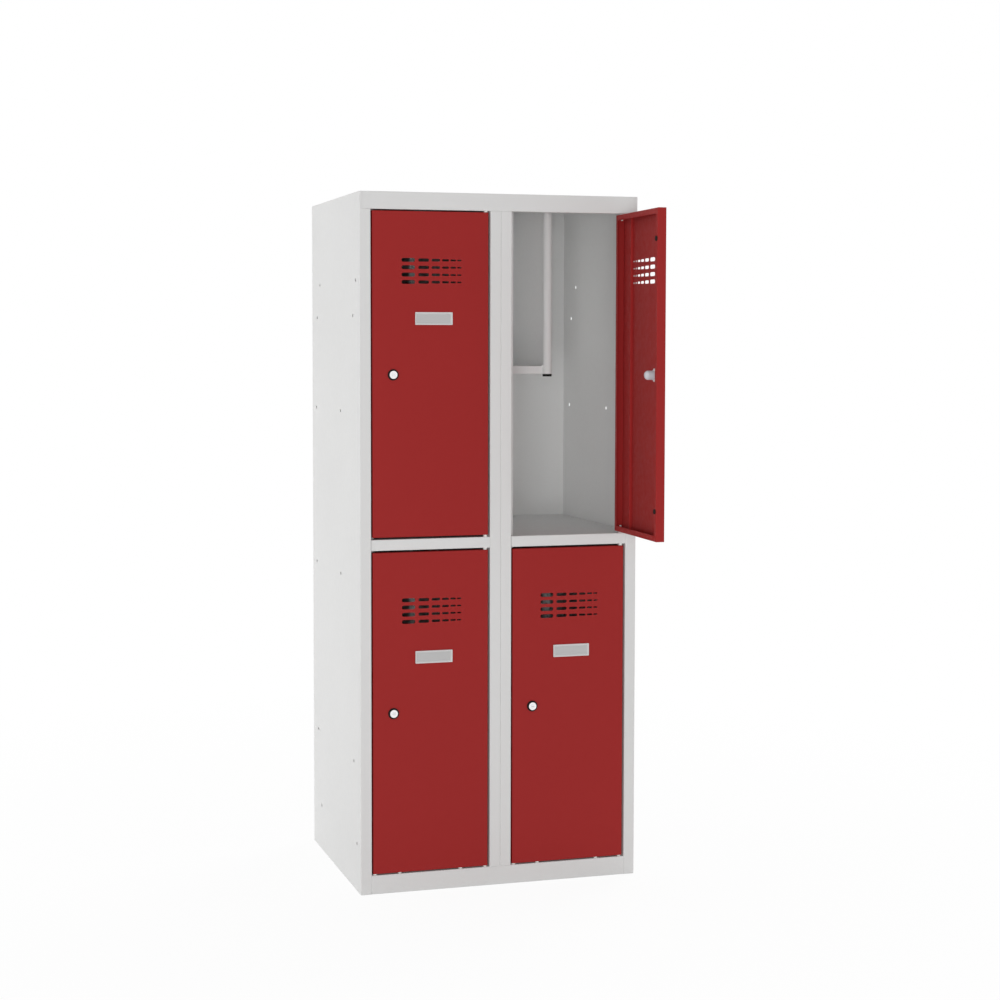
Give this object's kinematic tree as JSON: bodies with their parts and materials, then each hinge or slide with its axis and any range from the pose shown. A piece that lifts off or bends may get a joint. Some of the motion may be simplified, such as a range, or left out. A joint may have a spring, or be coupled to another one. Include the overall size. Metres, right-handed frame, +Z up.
{
  "type": "metal wardrobe locker",
  "caption": "Sheet steel wardrobe locker with stacked compartments side by side, vented red hinged doors, key locks, label plates, and a hat shelf with a divider in each compartment.",
  "frame": {"origin": "centre of the cabinet's footprint, on the floor", "axes": "+X to the right seen from the front, +Y towards the back, +Z up"},
  "size_m": [0.75, 0.8639, 1.8],
  "materials": {
    "grey_paint": "light grey powder coat, satin",
    "red_paint": "red powder coat, satin",
    "chrome": "polished",
    "zinc_steel": "zinc plated",
    "label_aluminium": "satin",
    "black_plastic": "matte",
    "white_nylon": "matte",
    "black_rubber": "matte"
  },
  "bodies": {
    "cabinet": {"side_panel_left": "grey_paint", "side_panel_right": "grey_paint", "partition_left": "grey_paint", "partition_right": "grey_paint", "roof_panel": "grey_paint", "base_panel": "grey_paint", "base_bearer": "grey_paint", "back_panel": "grey_paint", "middle_shelf_left": "grey_paint", "middle_shelf_right": "grey_paint", "cross_rail_left": "grey_paint", "cross_rail_right": "grey_paint", "centre_post_left": "grey_paint", "centre_post_right": "grey_paint", "hat_tubes": "grey_paint", "hat_shelf_lower_left": "grey_paint", "hat_shelf_lower_right": "grey_paint", "hat_shelf_upper_left": "grey_paint", "hat_shelf_upper_right": "grey_paint", "divider_lower_left": "grey_paint", "divider_lower_right": "grey_paint", "divider_upper_left": "grey_paint", "divider_upper_right": "grey_paint", "tube_caps": "black_plastic", "hinge_pins": "zinc_steel", "hinge_bushes": "white_nylon", "door_glides": "white_nylon"},
    "door_lower_left": {"door_panel_lower_left": "red_paint", "door_stiffener_lower_left": "red_paint", "label_holder_lower_left": "label_aluminium", "door_buffers_lower_left": "black_rubber", "lock_rosette_lower_left": "black_plastic", "lock_barrel_lower_left": "chrome", "lock_nut_lower_left": "zinc_steel"},
    "lock_lower_left": {"lock_plug_lower_left": "chrome"},
    "door_lower_right": {"door_panel_lower_right": "red_paint", "door_stiffener_lower_right": "red_paint", "label_holder_lower_right": "label_aluminium", "door_buffers_lower_right": "black_rubber", "lock_rosette_lower_right": "black_plastic", "lock_barrel_lower_right": "chrome", "lock_nut_lower_right": "zinc_steel"},
    "lock_lower_right": {"lock_plug_lower_right": "chrome"},
    "door_upper_left": {"door_panel_upper_left": "red_paint", "door_stiffener_upper_left": "red_paint", "label_holder_upper_left": "label_aluminium", "door_buffers_upper_left": "black_rubber", "lock_rosette_upper_left": "black_plastic", "lock_barrel_upper_left": "chrome", "lock_nut_upper_left": "zinc_steel"},
    "lock_upper_left": {"lock_plug_upper_left": "chrome"},
    "door_upper_right": {"door_panel_upper_right": "red_paint", "door_stiffener_upper_right": "red_paint", "label_holder_upper_right": "label_aluminium", "door_buffers_upper_right": "black_rubber", "lock_rosette_upper_right": "black_plastic", "lock_barrel_upper_right": "chrome", "lock_nut_upper_right": "zinc_steel"},
    "lock_upper_right": {"lock_plug_upper_right": "chrome"}
  },
  "joints": [
    {"name": "door_hinge_lower_left", "type": "hinge", "parent": "cabinet", "child": "door_lower_left", "pos_m": [-0.04, -0.2768, 0.46753], "axis": [0, 0, 1], "range_deg": [0, 105]},
    {"name": "lock_turn_lower_left", "type": "hinge", "parent": "door_lower_left", "child": "lock_lower_left", "pos_m": [-0.288, -0.285, 0.46753], "axis": [0, 1, 0], "range_deg": [0, 90]},
    {"name": "door_hinge_lower_right", "type": "hinge", "parent": "cabinet", "child": "door_lower_right", "pos_m": [0.335, -0.2768, 0.46753], "axis": [0, 0, 1], "range_deg": [0, 105]},
    {"name": "lock_turn_lower_right", "type": "hinge", "parent": "door_lower_right", "child": "lock_lower_right", "pos_m": [0.087, -0.285, 0.46753], "axis": [0, 1, 0], "range_deg": [0, 90]},
    {"name": "door_hinge_upper_left", "type": "hinge", "parent": "cabinet", "child": "door_upper_left", "pos_m": [-0.04, -0.2768, 1.33678], "axis": [0, 0, 1], "range_deg": [0, 105]},
    {"name": "lock_turn_upper_left", "type": "hinge", "parent": "door_upper_left", "child": "lock_upper_left", "pos_m": [-0.288, -0.285, 1.33678], "axis": [0, 1, 0], "range_deg": [0, 90]},
    {"name": "door_hinge_upper_right", "type": "hinge", "parent": "cabinet", "child": "door_upper_right", "pos_m": [0.335, -0.2768, 1.33678], "axis": [0, 0, 1], "range_deg": [-88.3, 16.7]},
    {"name": "lock_turn_upper_right", "type": "hinge", "parent": "door_upper_right", "child": "lock_upper_right", "pos_m": [0.33584, -0.52493, 1.33678], "axis": [-0.9996, 0.0297, 0], "range_deg": [0, 90]}
  ]
}
